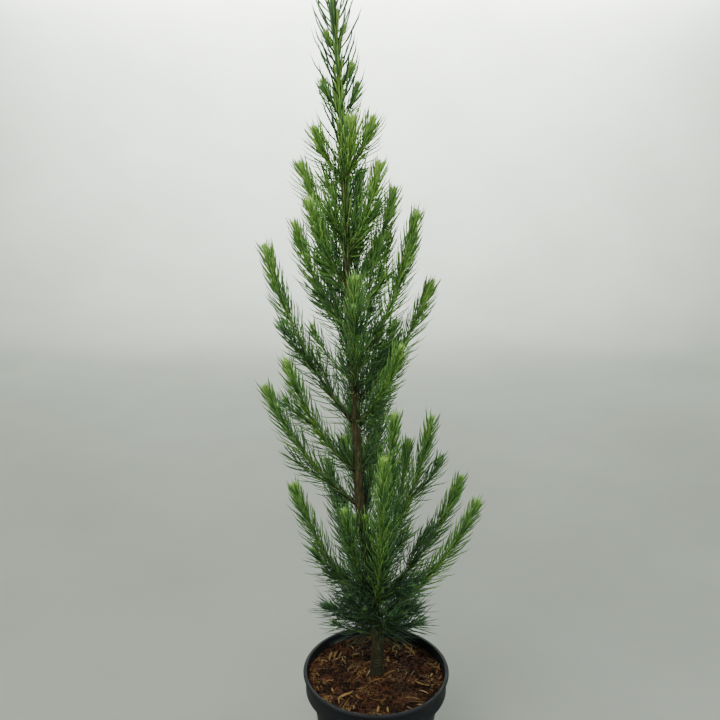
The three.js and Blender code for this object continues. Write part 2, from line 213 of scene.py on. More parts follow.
# Seeded thin shoots that are only here, round the foot and up the trunk. "wider" is how much further they
# reach to the sides, within heights to the right and to the left: none, full, full, none. The front is bare
# where it faces forwards more than the first number, below the second one. "brighter" is for the top.
UNDERGROWTH = dict(seed=21, count=15, heights=(56, 132), reach=(28, 46), rise=(10, 30), bare=(0.5, 84))
UNDERGROWTH.update(wider=14, wide_right=(0, 1, 150, 151), wide_left=(0, 1, 150, 151), brighter=0)
TRUNK_TWIGS = dict(seed=22, count=50, heights=(330, 680), reach=(8, 20), rise=(30, 56), bare=(0.6, 560))
TRUNK_TWIGS.update(wider=20, wide_right=(0, 1, 560, 620), wide_left=(470, 510, 565, 605), brighter=1)
SCATTER = 20
THIN_TWIG = 0.7
THIN_TWIG_STEPS = 2

# Inner shoots, on the foot of each long one: where, how long and how steep
SHORTEST_WITH_INNER = 95
INNER_FORKS = (0.04, 0.3)
INNER_SHARES = (0.2, 0.34)
INNER_TURNS = (14, 24)
INNER_SEED = 23

# Tones go from 0, blue-black, to 8, pale. Besides the needles' own spread of tone, they carry painted light
# and shade. The front of the crown is brighter, as painted light, and the top is brighter too.
FRONT_PAINTED_LIGHT = 0.4
TOP_TONE = 0.9
BRIGHTER_FROM = 150
TWIGS_BRIGHTER_FROM = 330
BRIGHTEST_FROM = 650
# Shoots that are darker than the rest, by their height
DIMMER = {114: 1.0, 109: 0.2, 349: 0.3, 385: 0.5}
# The inner crown is darker, as painted shade: how far from the trunk's axis that ends, and how high up
INNER_PAINTED_SHADE = 0.5
INNER_REACH = (52, 12)
INNER_TOP = (640, 400)
TONES = {
    "blue_black": (44, 72, 50),
    "deep": (58, 92, 58),
    "pine": (75, 114, 62),
    "forest": (94, 138, 66),
    "mid": (112, 156, 70),
    "leaf": (132, 174, 76),
    "fresh": (148, 188, 84),
    "lime": (158, 196, 92),
    "pale": (168, 204, 104),
}
MOST_NEEDLES = 8000

# Needles
NEEDLE_WIDTH = 1.3
NEEDLE_DEPTH = 0.8
NEEDLE_KEEL = 0.7
NEEDLE_STATIONS = np.array([0, 0.3, 0.72])
NEEDLE_OUTLINE = np.array([0.6, 1, 0.85])
LOWEST_NEEDLE = SOIL_TOP + 6
GOLDEN_TURN = 137.5
TIP_DENSITY = 0.9
CLOSE_EVERY = 1.7
CLOSE_FROM = 0.03
CLOSE_LENGTHS = (24, 18)
TUFT_LENGTH = 34
TUFT_EVERY = 0.75
END_BRUSH = 26
NEEDLE_SEED = 7

# How each kind of spray differs from a shoot's, with its tone added to others
TWIG = dict(every=1.5, low_lean=54, long=33, short=25, tone=-0.9, gain=0.65, tuft=0.25)
TWIG.update(radius=(1.2, 0.7), close=0.6)
DARK = dict(every=1.45, low_lean=68, high_lean=36, long=40, short=34, tone=-0.9, gain=0.5, tuft=0.2)
DARK.update(radius=(1.6, 0.7), curl=0.4, close=0.4, width=0.95)
# Fill shoots sit in the crown's shaded gaps: their raised tone is painted light
FILL = dict(every=1.8, long=36, short=28, tone=0.6, gain=0.7, tuft=0.2, radius=(1.0, 0.6), close=0.6)
INNER = dict(every=2.4, low_lean=58, long=36, short=30, tone=-0.2, gain=0.6, tuft=0)
INNER.update(radius=(0.8, 0.5), close=0.5)
STEEP = dict(every=1.6, low_lean=56, long=36, short=30, tone=0.8, gain=0.6, tuft=0)
STEEP.update(radius=(0.8, 0.4), close=0.6)
LOOSE_LEADER = dict(every=2.6, low_lean=48, high_lean=42, long=58, short=50, gain=0.5, curl=0.6, width=2.1)
CLOSE_LEADER = dict(every=1.1, low_lean=21, high_lean=14, long=26, short=22, tone=1.6, gain=1.1, tuft=0)
LEADER_TWIG = dict(every=1.3, low_lean=28, tone=1.2, gain=0.75, radius=(1, 0.6), close=0)

# Relief of the bark: how wide, long and high its ridges are, and the grain over them
RIDGES = (1.9, 13, 0.42)
GRAIN = (0.8, 3.2, 0.2)
FULL_RELIEF_RADIUS = 6
LEAST_RELIEF = 0.25
RING_MARKS_EVERY = 5.2
RING_MARK_HEIGHT = 0.3
BUTTRESSES = 3
BUTTRESS_HEIGHT = 0.9
BUTTRESS_FADE = 9
CUSHION_HEIGHT = 0.22
CUSHION_RADII = (0.5, 2.5)
SWELLING_HEIGHT = 0.16
SWELLING_REACH = 6
SWELLING_TURN = 0.55

# Heights above the soil between which something comes in up the trunk, or fades out
RINGS_FADE = (48, 25)
CUSHIONS_START = (200, 420)
RING_TINT_START = (10, 18)
RING_TINT_FADE = (50, 38)
FOOT_TINT_FADE = (66, 28)
TOP_TINT_START = (600, 730)

# Colours of bark by piece, at places along its streaks, and what the trunk turns to
BARK = {
    "trunk_bark": [(0.3, (36, 34, 21)), (0.5, (65, 61, 39)), (0.72, (98, 92, 61))],
    "bough_bark": [(0.3, (26, 25, 16)), (0.5, (48, 45, 28)), (0.7, (70, 68, 42))],
    "stems_brown": [(0.3, (54, 52, 30)), (0.5, (84, 82, 46)), (0.7, (106, 106, 62))],
    "stems_green": [(0.3, (82, 112, 46)), (0.5, (106, 140, 56)), (0.7, (130, 160, 74))],
}
FOOT_TINT = (38, 38, 25)
RING_TINT = (92, 92, 56)
TOP_TINT = (128, 156, 62)

# Stems: where along a line they start and turn green, their sides and the length of a step
STEM_FOOT = 0.01
STEM_SIDES = 8
STEM_STEP = 3
BOUGH_SIDES = 14
BOUGH_STEP = 1.1
GREEN_FROM = 0.3

# Mulch
MULCH_REACH = COLLAR_RADIUS - WALL - 2 * GAP
MULCH_SIDES = 220
MULCH_RINGS = 72
DRIFT_SIZE = 16
CHIP_CORNERS = 7
CHIP_TILT = 14
CHIP_LIFT = (-0.8, 1.8)
# A chip's layers from its underside up: how wide, and how high in its thickness
CHIP_LAYERS = [(0.86, -0.5), (1.0, -0.15), (0.97, 0.25), (0.74, 0.5)]
STRAND_ROWS = 14
STRAND_SIDES = 8
STRAND_FLATNESS = 0.4
STRAND_DRIFT = 0.7
CHIP_SEED = 40
STRAND_SEED = 60
DARK_CRUMBS = [(0.32, (16, 10, 8)), (0.5, (34, 22, 15)), (0.66, (54, 37, 24)), (0.8, (76, 56, 38))]
RED_CRUMBS = [(0.32, (26, 15, 10)), (0.5, (62, 36, 24)), (0.66, (86, 55, 35)), (0.8, (108, 78, 52))]

# Chips: colour, count, length, slenderness, thickness, how much they lie in drifts, and in which ones
CHIPS = [
    ("dark", (29, 18, 11), 900, (3, 9), (1.5, 3.5), (0.8, 2.2), 0.2, 0),
    ("red", (65, 37, 23), 900, (3, 9), (1.8, 4), (0.8, 1.8), 0.6, 0),
    ("brown", (78, 54, 30), 520, (4, 12), (3, 6), (0.7, 1.4), 0.5, 0),
    ("ochre", (94, 72, 40), 130, (5, 15), (4, 8), (0.6, 1.2), 0.7, 0),
    ("tan", (118, 100, 70), 36, (5, 14), (4, 8), (0.6, 1.0), 0.6, 1),
]

# Strands of bark: colour, count, length, width, how far they bow, kind. Each kind has its own drifts.
STRANDS = [
    ("ochre", (110, 86, 50), 130, (8, 20), (1.1, 2.2), 3.5, 0),
    ("tan", (134, 116, 82), 40, (7, 16), (0.9, 1.6), 2.5, 1),
    ("gold", (126, 100, 58), 14, (9, 16), (1.8, 3.0), 1.5, 2),
    ("red", (74, 46, 30), 240, (6, 15), (0.8, 1.7), 3, 3),
    ("brown", (76, 57, 36), 200, (6, 16), (0.8, 1.7), 3, 4),
]

# The largest strands: kind, both ends to the right and to the back, width, bow
LAID_STRANDS = [
    [0, 50, -17, 69, -26, 3.2, -2.5],
    [0, -11, -26, 9, -15, 2.6, 1.2],
    [0, 10, -10, 27, 2, 2.6, 0.8],
    [4, -4, -29, 18, -13, 2.2, -1.5],
    [1, -12, -11, -5, 7, 1.5, 0],
    [2, -49, -52, -31, -41, 4.4, 1.2],
    [2, -62, 26, -59, 46, 3.4, 0.5],
    [0, -56, 27, -52, 48, 2.6, 0.5],
    [0, -50, 29, -46, 45, 2.2, -0.5],
    [2, 74, 17, 82, 26, 2.2, -2.5],
    [0, 75, 12, 85, 7, 2.4, 2.5],
    [0, 84, 8, 86, 22, 2.6, 1.5],
    [1, 45, -8, 51, 3, 1.3, 0],
    [1, 54, -35, 66, -41, 1.8, 1.2],
    [0, 36, -50, 55, -53, 2.4, 1],
    [0, 40, -56, 58, -57, 2.0, -1],
    [2, 2, -64, 0, -76, 3.0, 0.6],
    [2, 13, -67, 14, -77, 2.4, -0.4],
    [0, 25, 66, 33, 48, 3.0, 2],
    [0, 29, 62, 24, 42, 2.2, -2],
    [2, 41, 55, 53, 38, 3.0, 1.5],
    [0, 38, 66, 49, 52, 2.6, -2],
    [1, -35, 61, -30, 50, 1.6, 1],
]
LAID_LIFT = 3.0
LOOSE_LIFT = 1.0

# Stage, in metres: the floor's flat radius, the curve of its edge, and its wall
FLOOR_RADII = (0.02, 0.5, 1.2, 2.2)
FLOOR_CURVE = 1.2
WALL_HEIGHTS = (2.2, 3.6)
FLOOR_SIDES = 96
SKY = (0.93, 0.97, 1, 1)
SKY_STRENGTH = 0.92
# Lights, in metres: place, target, width and height, power, colour
LIGHTS = {
    "key": ((-0.7, -1.1, 2.3), (0, 0, 0.5), (1.5, 1.5), 54, (1, 0.985, 0.95)),
    "fill": ((1.6, -1.0, 1.5), (0, 0, 0.5), (1.6, 1.6), 17, (0.93, 0.97, 1)),
    "wall": ((-0.2, 2.4, 1.9), (-0.2, 3.4, 1.0), (2.4, 1.0), 75, (0.97, 1, 0.99)),
    "wall_top": ((0, 2.9, 1.75), (0, 3.4, 1.45), (3.6, 0.4), 300, (0.97, 1, 0.99)),
}


def mix(low, high, share):
    return low + (high - low) * share


def smooth(low, high, value):
    """A smooth rise from 0 to 1 as a value goes from low to high."""
    share = np.clip((value - low) / (high - low), 0, 1)
    return share * share * (3 - 2 * share)


def unit(vectors):
    return vectors / np.linalg.norm(vectors, axis=-1, keepdims=True)


def compass(degrees):
    """The level direction of an azimuth, turned from +X towards +Y."""
    turn = math.radians(degrees)
    return np.array([math.cos(turn), math.sin(turn), 0.0])


def swung(start, side, turn):
    """A unit vector turned, in radians, towards another one square to it."""
    return start * np.cos(turn) + side * np.sin(turn)


def full_circle(sides):
    return np.linspace(0, 2 * np.pi, sides, endpoint=False)


def seeded_draws(seed):
    """The part source's own draws, the same on every run."""
    state = seed
    whole = 0xFFFFFFFF

    def draw():
        nonlocal state
        state = (state + 0x6D2B79F5) & whole
        mixed = ((state ^ (state >> 15)) * (state | 1)) & whole
        mixed ^= (mixed + (((mixed ^ (mixed >> 7)) * (mixed | 61)) & whole)) & whole
        return (mixed ^ (mixed >> 14)) / 4294967296

    return draw


class Noise:
    """Smooth seeded noise from -1 to 1, with features of about one unit."""

    SIZE = 64

    def __init__(self, seed):
        self.values = np.random.default_rng(seed).uniform(-1, 1, (self.SIZE,) * 3)

    def __call__(self, *axes):
        points = np.stack(np.broadcast_arrays(*axes), axis=-1)
        cell = np.floor(points).astype(int)
        part = points - cell
        part = part * part * (3 - 2 * part)
        total = 0
        for corner in np.ndindex(2, 2, 2):
            at = tuple(np.moveaxis((cell + corner) % self.SIZE, -1, 0))
            weight = np.prod(np.where(corner, part, 1 - part), axis=-1)
            total = total + weight * self.values[at]
        return total


RIDGE_NOISE, GRAIN_NOISE, MOUND_NOISE, CRUMB_NOISE = map(Noise, (1, 2, 3, 4))


class Line:
    """A curve at even steps, with a frame at each that doesn't twist."""

    def __init__(self, points):
        points = np.asarray(points, float)
        gaps = np.linalg.norm(np.diff(points, axis=0), axis=1)
        travelled = np.concatenate([[0], np.cumsum(gaps)])
        self.length = travelled[-1]
        self.shares = np.linspace(0, 1, LINE_STEPS + 1)
        self.points = self.resample(self.shares * self.length, travelled, points)
        self.tangents = unit(np.gradient(self.points, axis=0))
        self.sides = np.empty_like(self.points)
        side = np.cross(self.tangents[0], [0.31, -0.87, 0.39])
        for step, tangent in enumerate(self.tangents):
            side = side - tangent * (tangent @ side)
            self.sides[step] = side = side / np.linalg.norm(side)

    @staticmethod
    def resample(at, known, rows):
        return np.stack([np.interp(at, known, column) for column in rows.T], axis=-1)

    def point(self, share):
        return self.resample(share, self.shares, self.points)

    def tangent(self, share):
        return unit(self.resample(share, self.shares, self.tangents))

    def outwards(self, share, turn):
        """The way out from the curve at a turn round it."""
        tangent = self.tangent(share)
        side = unit(self.resample(share, self.shares, self.sides))
        return swung(side, np.cross(tangent, side), turn[..., None])


def bezier(start, bend, end):
    share = np.linspace(0, 1, LINE_STEPS + 1)[:, None]
    return Line(start * (1 - share) ** 2 + bend * 2 * share * (1 - share) + end * share**2)


# Growth: the same lines as in the part's source


def trunk_at(height):
    """The trunk's centre at heights, in straight runs between its stations."""
    leans = (np.interp(height, TRUNK_HEIGHTS, lean) for lean in TRUNK_LEANS)
    return np.stack(np.broadcast_arrays(*leans, SOIL_TOP + GAP + height), axis=-1)


def trunk_radius(height):
    return np.interp(height, TRUNK_HEIGHTS, TRUNK_RADII)


def smooth_trunk_at(height):
    """The trunk's centre carried smoothly between its stations."""
    known, leans, slopes = TRUNK_HEIGHTS, TRUNK_LEANS, np.gradient(TRUNK_LEANS, TRUNK_HEIGHTS, axis=1)
    low = np.clip(np.searchsorted(known, height, side="right") - 1, 0, len(known) - 2)
    high = low + 1
    span = known[high] - known[low]
    share = (height - known[low]) / span
    held = (1 + 2 * share) * (1 - share) ** 2 * leans[:, low] + share**2 * (3 - 2 * share) * leans[:, high]
    pulled = share * (1 - share) ** 2 * slopes[:, low] - share**2 * (1 - share) * slopes[:, high]
    return np.stack([*(held + span * pulled), SOIL_TOP + GAP + height], axis=-1)


def shoot_line(height, azimuth, reach, rise):
    """A shoot from the middle of the trunk: outwards first, then steeply up."""
    start = trunk_at(height)
    out = compass(azimuth) * reach
    up = np.array([0, 0, rise])
    return bezier(start, start + out * BEND_OUT + up * BEND_UP, start + out + up)


def twig_line(line, share, roll, length, turn=TWIG_TURN):
    """A side twig that turns away from its shoot and then runs beside it."""
    start, tangent = line.point(share), line.tangent(share)
    level = unit(np.cross([0, 0, 1], tangent))
    away = swung(level, np.cross(tangent, level), math.radians(roll))
    bend = start + swung(tangent, away, math.radians(turn)) * length * TWIG_BEND
    return bezier(start, bend, bend + tangent * length * (1 - TWIG_BEND))


class Room:
    """Capsules round the limbs so far, so that a new twig can stay clear of the others."""

    def __init__(self):
        self.capsules = []

    def take(self, owner, points, radius):
        self.capsules += [(owner, start, end, radius) for start, end in zip(points[:-1], points[1:])]

    def take_line(self, owner, line, radius=CORE_RADIUS, start=0.0, stop=1.0):
        self.take(owner, line.point(np.linspace(start, stop, CAPSULE_STEPS + 1)), radius)

    def is_clear(self, owner, line, radius=CORE_RADIUS, skipped=0):
        """Whether a line, but for its first steps, stays clear of all other owners."""
        others = [capsule[1:] for capsule in self.capsules if capsule[0] != owner]
        starts, ends, radii = (np.array(column) for column in zip(*others))
        points = line.point(np.linspace(0, 1, CAPSULE_STEPS + 1))[skipped:]
        runs = zip(points[:-1], points[1:])
        return all(np.all(distances(a, b, starts, ends) > radii + radius + GAP) for a, b in runs)

    def take_if_clear(self, owner, line):
        clear = self.is_clear(owner, line)
        if clear:
            self.take_line(owner, line)
        return clear


def distances(start, end, starts, ends):
    """The least distance from one straight run to each of many."""
    along, others, offset = end - start, ends - starts, start - starts
    a, b, e = along @ along, others @ along, np.sum(others**2, axis=1)
    c, f = offset @ along, np.sum(others * offset, axis=1)
    apart = a * e - b * b
    s = np.clip(np.divide(b * f - c * e, apart, out=np.zeros_like(apart), where=apart > 0), 0, 1)
    t = np.clip((b * s + f) / e, 0, 1)
    s = np.clip((b * t - c) / a, 0, 1)
    return np.linalg.norm(offset + along * s[:, None] - others * t[:, None], axis=1)


# Meshes


def joined(pieces):
    """Meshes of points and triangles as one."""
    points, faces, count = [], [], 0
    for some_points, some_faces in pieces:
        points.append(some_points)
        faces.append(some_faces + count)
        count += len(some_points)
    return np.concatenate(points), np.concatenate(faces)


def put(name, data):
    """A new object in the scene."""
    thing = bpy.data.objects.new(name, data)
    bpy.context.scene.collection.objects.link(thing)
    return thing


def add_piece(name, mesh, material, replaced=()):
    """A named piece of the object from points in millimetres and triangles."""
    points, faces = mesh
    data = bpy.data.meshes.new(name)
    data.from_pydata((points * MM).tolist(), [], faces.tolist())
    data.materials.append(material)
    data.shade_smooth()
    piece = put(name, data)
    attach(piece, BODY)
    if replaced:
        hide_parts(*replaced)
    return piece


def grid_faces(rows, sides):
    """Triangles between rows of points that each close on themselves."""
    row, side = np.meshgrid(np.arange(rows - 1), np.arange(sides), indexing="ij")
    a, b = row * sides + side, row * sides + (side + 1) % sides
    c, d = b + sides, a + sides
    return np.concatenate([np.stack(corners, -1).reshape(-1, 3) for corners in ([a, b, c], [a, c, d])])


def closed_grid(rings):
    """A closed mesh over rings of points, with a flat fan over each end."""
    rows, sides = rings.shape[:2]
    points = np.concatenate([rings.reshape(-1, 3), rings[0].mean(0)[None], rings[-1].mean(0)[None]])
    side = np.arange(sides)
    after = (side + 1) % sides
    last_row, foot, top = (rows - 1) * sides, rows * sides, rows * sides + 1
    foot_fan = np.stack([after, side, np.full(sides, foot)], -1)
    top_fan = np.stack([last_row + side, last_row + after, np.full(sides, top)], -1)
    return points, np.concatenate([grid_faces(rows, sides), foot_fan, top_fan])


def lathe(profile, sides):
    """Rings of points round the upright axis, from a profile of radius and height."""
    radius, height = np.array(profile).T[..., None]
    turn = full_circle(sides)
    return np.stack(np.broadcast_arrays(radius * np.cos(turn), radius * np.sin(turn), height), axis=-1)


def limb(line, radius_at, sides, step, start, stop, relief=None):
    """A tapering limb along a stretch of a line, with relief added to its radius."""
    rows = max(3, int(line.length * (stop - start) / step) + 1)
    share, turn = np.broadcast_arrays(np.linspace(start, stop, rows)[:, None], full_circle(sides))
    radius = radius_at(share)
    if relief:
        radius = radius + relief(share * line.length, turn, radius)
    return closed_grid(line.point(share) + line.outwards(share, turn) * radius[..., None])


# Materials


def rgba(colour):
    """An sRGB colour from 0 to 255 as the shader's linear one."""
    share = np.array(colour) / 255
    return (*np.where(share <= 0.04045, share / 12.92, ((share + 0.055) / 1.055) ** 2.4), 1)


class Look:
    """A material in the making, with its plain colour on the shader's own socket."""

    def __init__(self, name, colour, roughness, specular=0.5):
        self.material = bpy.data.materials.new(name)
        self.material.use_nodes = True
        self.tree = self.material.node_tree
        self.shader = self.tree.nodes["Principled BSDF"].inputs
        self.shader["Base Color"].default_value = rgba(colour)
        self.shader["Roughness"].default_value = roughness
        self.shader["Specular IOR Level"].default_value = specular

    def plug(self, socket, value):
        """Links a socket to another one, or gives it a plain value."""
        if isinstance(value, bpy.types.NodeSocket):
            self.tree.links.new(value, socket)
        else:
            socket.default_value = value

    def node(self, kind, values, **settings):
        """The outputs of a new node that takes in sockets or plain values."""
        node = self.tree.nodes.new(f"ShaderNode{kind}")
        for setting, value in settings.items():
            setattr(node, setting, value)
        for name, value in values.items():
            self.plug(node.inputs[name], value)
        return node.outputs

    def place(self):
        return self.node("TexCoord", {})["Object"]

    def noise(self, scale, detail, stretch=(1, 1, 1), roughness=0.5):
        """A noise over the object's own coordinates."""
        scaled = self.node("Mapping", {"Vector": self.place(), "Scale": stretch})["Vector"]
        values = {"Vector": scaled, "Scale": scale, "Detail": detail, "Roughness": roughness}
        return self.node("TexNoise", values)["Fac"]

    def ramp(self, value, stops):
        """Colours over a value, from stops of place and sRGB colour."""
        node = self.tree.nodes.new("ShaderNodeValToRGB")
        elements = node.color_ramp.elements
        while len(elements) < len(stops):
            elements.new(0.5)
        for element, (place, colour) in zip(elements, stops):
            element.position = place
            element.color = rgba(colour)
        self.plug(node.inputs["Fac"], value)
        return node.outputs["Color"]

    def spread(self, value, low, high):
        """A value from 0 to 1 carried over to another range."""
        return self.node("MapRange", {"Value": value, "To Min": low, "To Max": high})["Result"]

    def rise(self, value, low, high):
        """A share that rises from 0 to 1 as a value goes from low to high."""
        return self.node("MapRange", {"Value": value, "From Min": low, "From Max": high})["Result"]

    def maths(self, operation, *values):
        """A number worked out from others."""
        return self.node("Math", dict(enumerate(values)), operation=operation)["Value"]

    def mixed(self, share, colour, other):
        """A colour turned towards another, on the mix node's sockets for colours."""
        return self.node("Mix", {0: share, 6: colour, 7: other}, data_type="RGBA")[2]

    def bump(self, height, strength, distance):
        """Fine relief, its distance in metres."""
        values = {"Height": height, "Strength": strength, "Distance": distance}
        return self.node("Bump", values)["Normal"]

    def finished(self, colour=None, roughness=None, relief=None):
        """The material, with what varies over it linked to the shader."""
        for name, socket in (("Base Color", colour), ("Roughness", roughness), ("Normal", relief)):
            if socket:
                self.plug(self.shader[name], socket)
        return self.material


def needle_material(name, colour):
    look = Look(name, colour, 0.5, 0.35)
    grain = look.noise(900, 2)
    return look.finished(None, look.spread(grain, 0.42, 0.62), look.bump(grain, 0.25, 0.0003))


def bark_material(name):
    """Bark streaked along the stem, with its own foot and top on the trunk."""
    stops = BARK[name]
    look = Look(name, stops[0][1], 0.85, 0.25)
    streaks = look.noise(420, 6, (1, 1, 0.16), 0.65)
    colour = look.ramp(streaks, stops)
    if name == "trunk_bark":
        colour = with_foot_and_top(look, colour)
    relief = look.bump(look.noise(1500, 4, (1, 1, 0.35)), 0.6, 0.0004)
    return look.finished(colour, look.spread(streaks, 0.7, 0.95), relief)


def with_foot_and_top(look, colour):
    """The trunk's colour, grey-green and ringed at its foot, and leaf green at its young top."""
    height = look.node("SeparateXYZ", {"Vector": look.place()})["Z"]

    def above_soil(low, high):
        return look.rise(height, (SOIL_TOP + low) * MM, (SOIL_TOP + high) * MM)

    worn = look.spread(look.noise(120, 3), 0.55, 1.1)
    every = RING_MARKS_EVERY * MM
    swayed = look.maths("MULTIPLY_ADD", look.noise(70, 2), 2.5 * every, height)
    marks = look.rise(look.maths("PINGPONG", swayed, every / 2), 0.26 * every, 0.5 * every)
    patchy = look.spread(look.noise(75, 2), -0.7, 1.6)
    for share in (above_soil(*RING_TINT_FADE), above_soil(*RING_TINT_START), patchy):
        marks = look.maths("MULTIPLY", marks, share)
    foot = look.maths("MULTIPLY", above_soil(*FOOT_TINT_FADE), worn)
    top = look.maths("MULTIPLY", above_soil(*TOP_TINT_START), worn)
    for share, tint in ((foot, FOOT_TINT), (marks, RING_TINT), (top, TOP_TINT)):
        colour = look.mixed(share, colour, rgba(tint))
    return colour


# Trunk


def bark_relief(height, turn, radius):
    """Ridges with a finer grain over them, less on a thinner limb."""
    right, back = radius * np.cos(turn), radius * np.sin(turn)
    relief = 0
    for noise, (wide, long, high) in ((RIDGE_NOISE, RIDGES), (GRAIN_NOISE, GRAIN)):
        relief = relief + high * noise(right / wide, back / wide, height / long)
    return relief * np.clip(radius / FULL_RELIEF_RADIUS, LEAST_RELIEF, 1)


def trunk_relief(height, turn, radius):
    """Bark, ring marks and buttresses at the foot, a swelling under each shoot, leaf cushions above."""
    relief = bark_relief(height, turn, radius)
    wave = RIDGE_NOISE(np.cos(turn), np.sin(turn), height / 20)
    rings = np.sin(2 * np.pi * (height / RING_MARKS_EVERY + 0.35 * wave))
    relief += RING_MARK_HEIGHT * rings * smooth(*RINGS_FADE, height)
    relief += BUTTRESS_HEIGHT * np.cos(BUTTRESSES * turn + 0.6) * np.exp(-height / BUTTRESS_FADE)
    cushions = np.cos(8 * turn + height * 0.62) * np.cos(5 * turn - height * 0.85)
    relief += CUSHION_HEIGHT * cushions * smooth(*CUSHIONS_START, height) * smooth(*CUSHION_RADII, radius)
    for from_height, azimuth, *_ in SHOOTS:
        apart = np.angle(np.exp(1j * (turn - math.radians(azimuth))))
        near = ((height - from_height) / SWELLING_REACH) ** 2 + (apart / SWELLING_TURN) ** 2
        relief += SWELLING_HEIGHT * trunk_radius(from_height) * np.exp(-near)
    return relief


def trunk_mesh():
    height, turn = np.broadcast_arrays(
        np.linspace(0, TRUNK_HEIGHTS[-1], TRUNK_RINGS)[:, None], full_circle(TRUNK_SIDES)
    )
    radius = trunk_radius(height)
    radius = np.maximum(radius + trunk_relief(height, turn, radius), TRUNK_LEAST_RADIUS)
    outwards = np.stack([radius * np.cos(turn), radius * np.sin(turn), 0 * turn], axis=-1)
    return closed_grid(smooth_trunk_at(height) + outwards)


# Sprays


@dataclass
class Spray:
    """A stem with needles: where they start, how they stand, and how bright they are."""

    line: Line
    start: float = 0.0
    every: float = 1.08
    low_lean: float = 66
    high_lean: float = 28
    long: float = 40
    short: float = 27
    tone: float = 0.0
    gain: float = 1.0
    tuft: float = 1.0
    radius: tuple = (1.4, 0.7)
    curl: float = 0.7
    close: float = 1.0
    width: float = NEEDLE_WIDTH


def grow():
    """Every shoot, twig and short shoot of the plant, by the rule of the part's source."""
    room = Room()
    room.take("trunk", trunk_at(TRUNK_HEIGHTS), TRUNK_ROOM)
    lines = [shoot_line(*shoot) for shoot in SHOOTS]
    starts = [0.0 if line.length < SHORTEST_WITH_BOUGH else BOUGH_SHARE for line in lines]
    for index, (line, start) in enumerate(zip(lines, starts)):
        room.take_line(index, line, start=start)
        if start:
            room.take_line(index, line, bough_radius(line.length), stop=start)
    skirt = [shoot_line(*shoot) for shoot in SKIRT]
    for index, line in enumerate(skirt):
        room.take_line(f"skirt {index}", line)
    sprays = []
    for index, line in enumerate(skirt):
        sprays.append(spray_like(DARK, line))
        for share, roll in SKIRT_TWIGS:
            twig = twig_line(line, share, roll, line.length * SKIRT_TWIG_SHARE)
            if room.take_if_clear(f"skirt {index}", twig):
                sprays.append(spray_like(DARK, twig))
    for index, (shoot, line, start) in enumerate(zip(SHOOTS, lines, starts)):
        sprays.append(shoot_spray(line, start, shoot))
        for twig, share in side_twigs(index, line, start, room):
            sprays.append(spray_like(TWIG, twig, shoot_tone(shoot) + share))
    sprays += seeded_shoots(room, DARK, **UNDERGROWTH)
    sprays += [spray_like(DARK, shoot_line(*shoot)) for shoot in SIDE_UNDERGROWTH]
    sprays += [*seeded_shoots(room, STEEP, **TRUNK_TWIGS), *inner_shoots(lines, room)]
    sprays.append(shoot_spray(shoot_line(*FRONT_SHOOT), 0, FRONT_SHOOT))
    sprays += [spray_like(FILL, shoot_line(*shoot), shoot_tone(shoot)) for shoot in FILL_SHOOTS]
    return lines, starts, sprays + leader_sprays()


def bough_radius(length):
    return BOUGH_LEAST_RADIUS + length * BOUGH_GROWTH


def side_twigs(index, line, start, room):
    """The twigs of a shoot that stay clear of others, each with where it forks."""
    draw = seeded_draws(SHOOT_SEED + index)
    forks = line.length / TWIG_EVERY
    for fork in range(int(forks)):
        share = mix(start + FIRST_FORK_AFTER, LAST_FORK, (fork + draw()) / forks)
        roll = 360 * draw()
        length = line.length * TWIG_SHARE * mix(*TWIG_LENGTHS, draw())
        twig = twig_line(line, share, roll, length)
        if room.take_if_clear(index, twig) and SHOOTS[index][0] not in OPEN_BESIDE:
            yield twig, share


def shoot_tone(shoot):
    """How much brighter a whole shoot is: more at the front, which is painted light, and towards the top.
    """
    height, azimuth = shoot[:2]
    # Painted light: shoots that face the front are brighter
    front = -compass(azimuth)[1]
    top = smooth(BRIGHTER_FROM, BRIGHTEST_FROM, height)
    return FRONT_PAINTED_LIGHT * front + TOP_TONE * top - DIMMER.get(height, 0)


def shoot_spray(line, start, shoot):
    radius = (bough_radius(line.length) * BOUGH_TAPER, SHOOT_TIP_RADIUS)
    return Spray(line, start * BARE_BOUGH, tone=shoot_tone(shoot), radius=radius)


def spray_like(looks, line, brighter=0):
    """A spray that looks like its kind, but brighter by so much."""
    return Spray(line, **{**looks, "tone": looks["tone"] + brighter})


def seeded_shoots(
    room, looks, seed, count, heights, reach, rise, wider, wide_right, wide_left, bare, brighter
):
    """Short thin shoots up and round the trunk, which leave the front bare and stay clear of others."""
    rng = np.random.default_rng(seed)
    for number in range(count):
        height = mix(*heights, (number + rng.uniform()) / count)
        azimuth = (GOLDEN_TURN * number + rng.uniform(-SCATTER, SCATTER)) % 360
        right, back, _ = compass(azimuth)
        foot, low, high, top = wide_right if right > 0 else wide_left
        sideways = abs(right) * smooth(foot, low, height) * smooth(top, high, height)
        line = shoot_line(height, azimuth, rng.uniform(*reach) + wider * sideways, rng.uniform(*rise))
        in_front = -back > bare[0] and height < bare[1]
        if not in_front and room.is_clear(None, line, THIN_TWIG, THIN_TWIG_STEPS):
            tone = brighter * smooth(TWIGS_BRIGHTER_FROM, BRIGHTEST_FROM, height)
            yield spray_like(looks, line, tone)


def inner_shoots(lines, room):
    """A steep thin shoot on the inner part of each long one."""
    rng = np.random.default_rng(INNER_SEED)
    for index, line in enumerate(lines):
        if line.length < SHORTEST_WITH_INNER:
            continue
        share = rng.uniform(*INNER_FORKS)
        length = line.length * rng.uniform(*INNER_SHARES)
        twig = twig_line(line, share, rng.uniform(0, 360), length, rng.uniform(*INNER_TURNS))
        if room.is_clear(index, twig, THIN_TWIG, THIN_TWIG_STEPS):
            yield spray_like(INNER, twig, shoot_tone(SHOOTS[index]))


